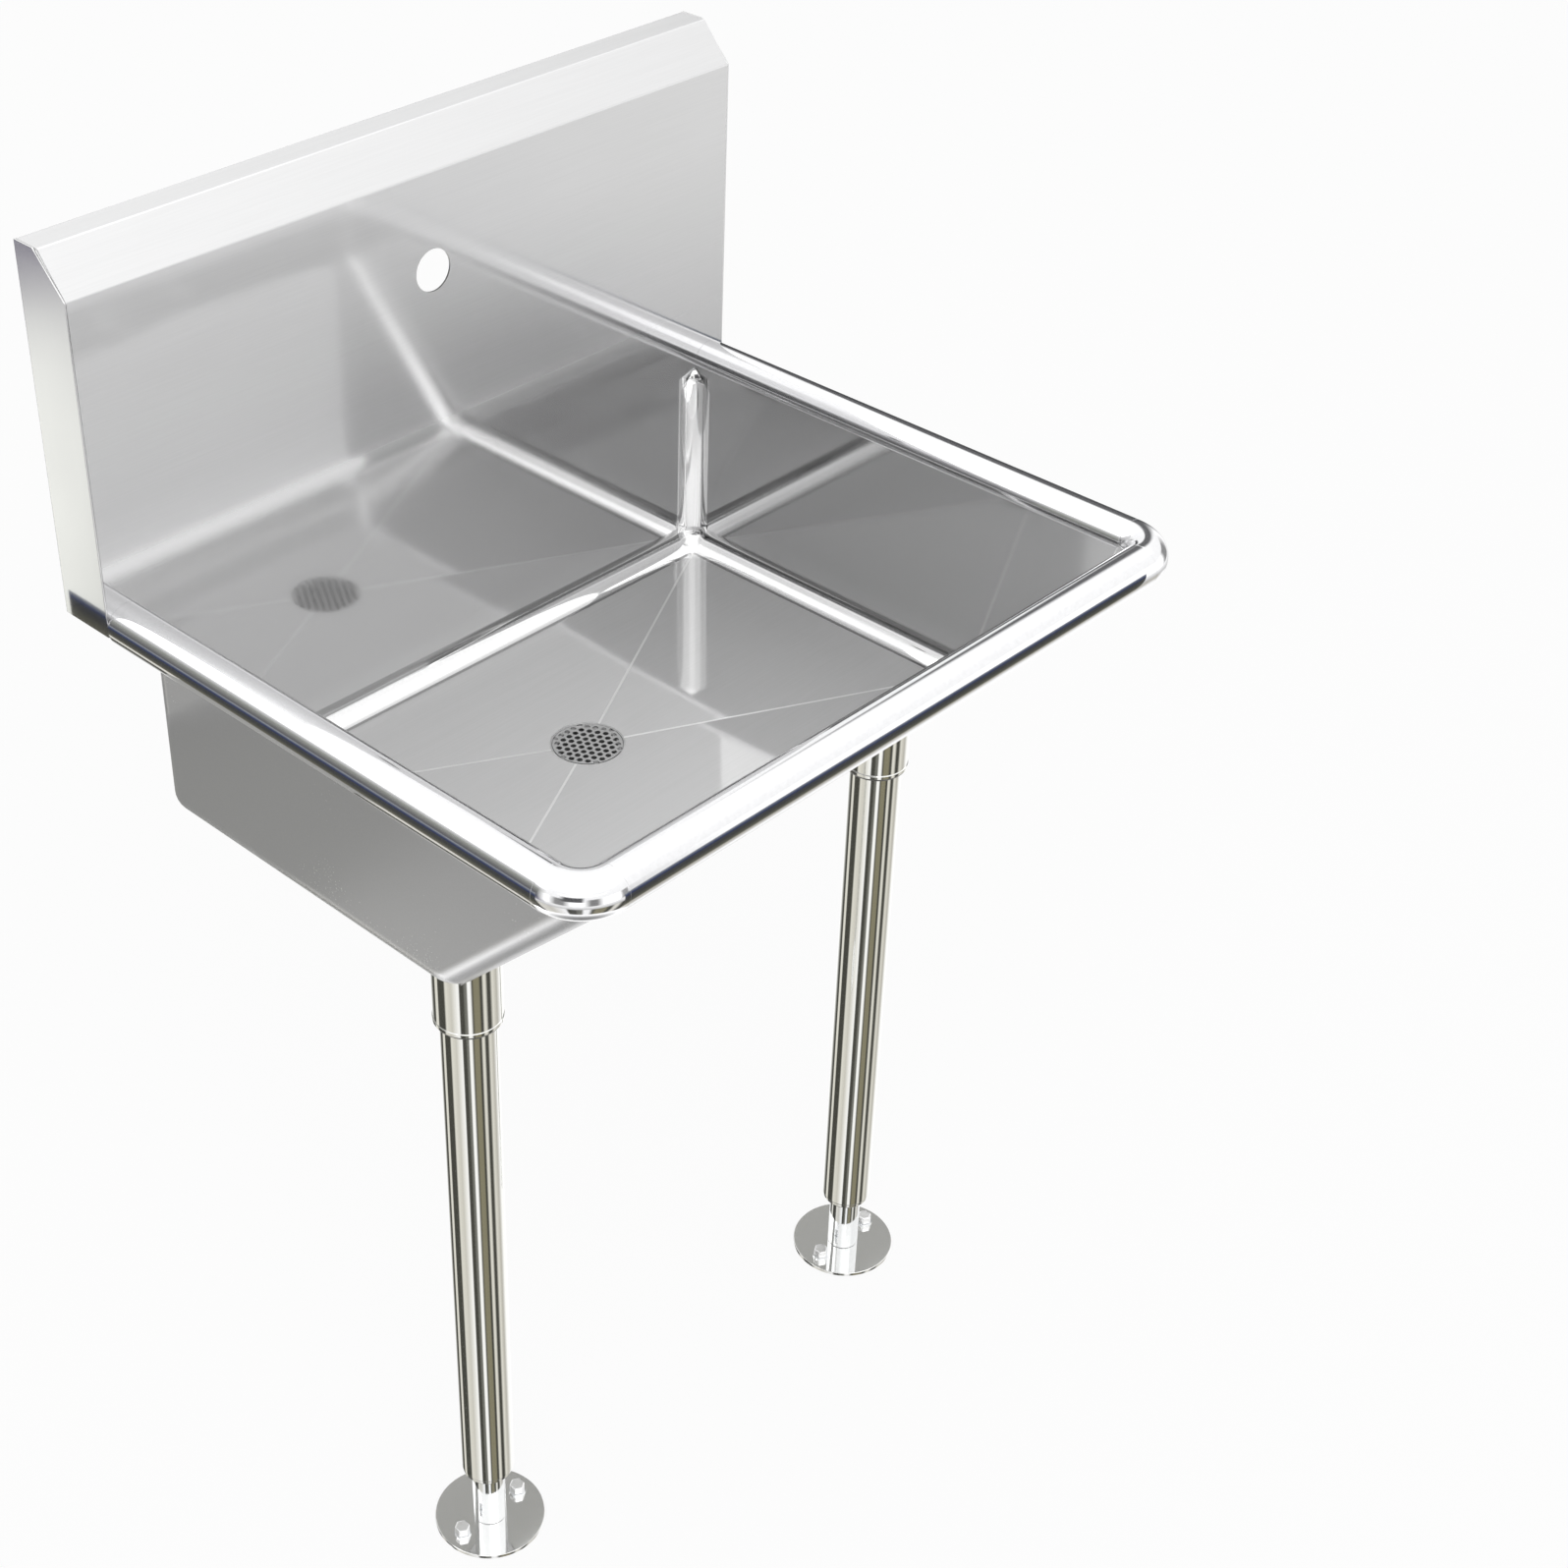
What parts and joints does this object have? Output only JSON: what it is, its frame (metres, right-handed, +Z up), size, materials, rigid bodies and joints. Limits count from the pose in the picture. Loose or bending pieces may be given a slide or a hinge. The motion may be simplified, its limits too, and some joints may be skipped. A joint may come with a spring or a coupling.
{
  "type": "wall-hung hand sink",
  "caption": "Wall-hung stainless hand sink with a coved bowl, sloped front, rolled rim, tall backsplash, lift-out strainer and front legs on adjustable flanged feet.",
  "frame": {"origin": "on the wall plane, at the middle of the wall bracket's two screw holes", "axes": "+X to the right as seen from the front, +Y into the wall, +Z up"},
  "size_m": [0.6096, 0.508, 1.0504],
  "materials": {
    "sheet_steel": "fine brushed grain, satin to bright",
    "bracket_steel": "mill finish",
    "polished_steel": "polished roll",
    "plated": "bright plating",
    "leg_steel": "polished tube",
    "foot_steel": "satin",
    "washer_rubber": "matte"
  },
  "bodies": {
    "sink": {"back_panel": "sheet_steel", "end_cap_left": "sheet_steel", "end_cap_right": "sheet_steel", "hanger_rail": "sheet_steel", "wall_bracket": "bracket_steel", "bowl": "sheet_steel", "rim_left": "polished_steel", "rim_right": "polished_steel", "rim_front": "polished_steel", "rim_corner_left": "polished_steel", "rim_corner_right": "polished_steel", "drain_cup": "plated", "tail_washer": "washer_rubber", "tail_nut": "plated", "tailpiece": "plated", "leg_plate_left": "bracket_steel", "leg_plate_right": "bracket_steel", "leg_socket_left": "leg_steel", "leg_socket_right": "leg_steel", "socket_screw_left": "plated", "socket_screw_right": "plated", "leg_tube_left": "leg_steel", "leg_tube_right": "leg_steel", "leg_insert_left": "bracket_steel", "leg_insert_right": "bracket_steel"},
    "strainer": {"strainer_plate": "sheet_steel"},
    "foot_left": {"foot_stem_left": "plated", "foot_flange_left": "foot_steel", "foot_washers_left": "plated", "foot_bolts_left": "plated"},
    "foot_right": {"foot_stem_right": "plated", "foot_flange_right": "foot_steel", "foot_washers_right": "plated", "foot_bolts_right": "plated"}
  },
  "joints": [
    {"name": "strainer_lift", "type": "slide", "parent": "sink", "child": "strainer", "axis": [0, 0, 1], "range_m": [0, 0.2]},
    {"name": "foot_left_height", "type": "slide", "parent": "sink", "child": "foot_left", "axis": [0, 0, 1], "range_m": [-0.0127, 0.0127]},
    {"name": "foot_right_height", "type": "slide", "parent": "sink", "child": "foot_right", "axis": [0, 0, 1], "range_m": [-0.0127, 0.0127]}
  ]
}
